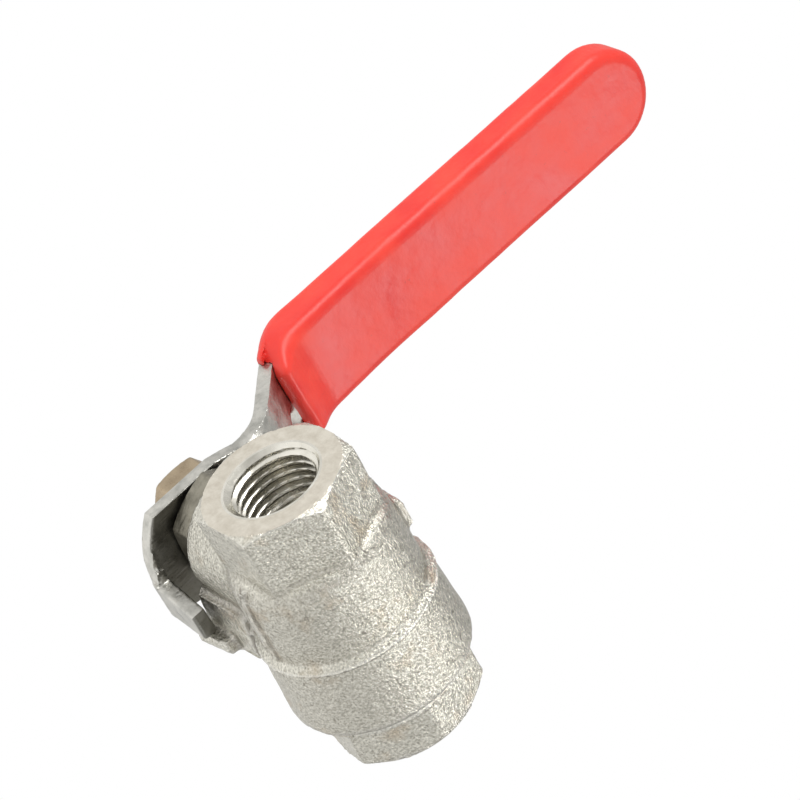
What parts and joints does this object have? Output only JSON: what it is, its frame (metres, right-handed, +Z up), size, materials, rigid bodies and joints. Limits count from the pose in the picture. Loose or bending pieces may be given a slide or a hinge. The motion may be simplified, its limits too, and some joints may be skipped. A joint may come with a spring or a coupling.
{
  "type": "lever ball valve",
  "caption": "Threaded inline ball valve with a forged hex-ended body, screwed end retainer, floating ball and an offset steel lever in a dipped sleeve.",
  "frame": {"origin": "centre of the body port's face, on the pipe axis", "axes": "+X points out of the body port along the pipe axis, +Y along the closed lever towards its grip end, +Z up the stem towards the lever nut"},
  "size_m": [0.0436, 0.1097, 0.0571],
  "materials": {
    "nickel_forging": "nickel-plated forging, shot-blasted grain with machined port faces",
    "ball_chrome": "polished hard chrome",
    "seat_white": "waxy white fluoropolymer",
    "stem_brass": "turned brass",
    "gland_nickel": "nickel-plated, turned",
    "lever_steel": "zinc-plated sheet steel with blanked edges",
    "red_vinyl": "satin dip-moulded vinyl",
    "nut_steel": "zinc-plated steel, slightly tinted"
  },
  "bodies": {
    "valve": {"valve_body": "nickel_forging", "end_retainer": "nickel_forging", "front_seat": "seat_white", "rear_seat": "seat_white", "body_gasket": "seat_white", "thrust_washer": "seat_white", "packing_lower": "seat_white", "packing_upper": "seat_white", "gland_follower": "stem_brass", "gland_nut": "gland_nickel"},
    "handle": {"stem": "stem_brass", "lever": "lever_steel", "lever_sleeve": "red_vinyl", "lock_washer": "nut_steel", "lever_nut": "nut_steel"},
    "ball": {"ball": "ball_chrome"}
  },
  "joints": [
    {"name": "lever_turn", "type": "hinge", "parent": "valve", "child": "handle", "pos_m": [-0.0184, 0, 0], "axis": [0, 0, 1], "range_deg": [0, 90]},
    {"name": "ball_turn", "type": "hinge", "parent": "valve", "child": "ball", "pos_m": [-0.0184, 0, 0], "axis": [0, 0, 1], "range_deg": [0, 90]}
  ],
  "couplings": [
    {"joint": "ball_turn", "follows": "lever_turn", "ratio": 1}
  ]
}
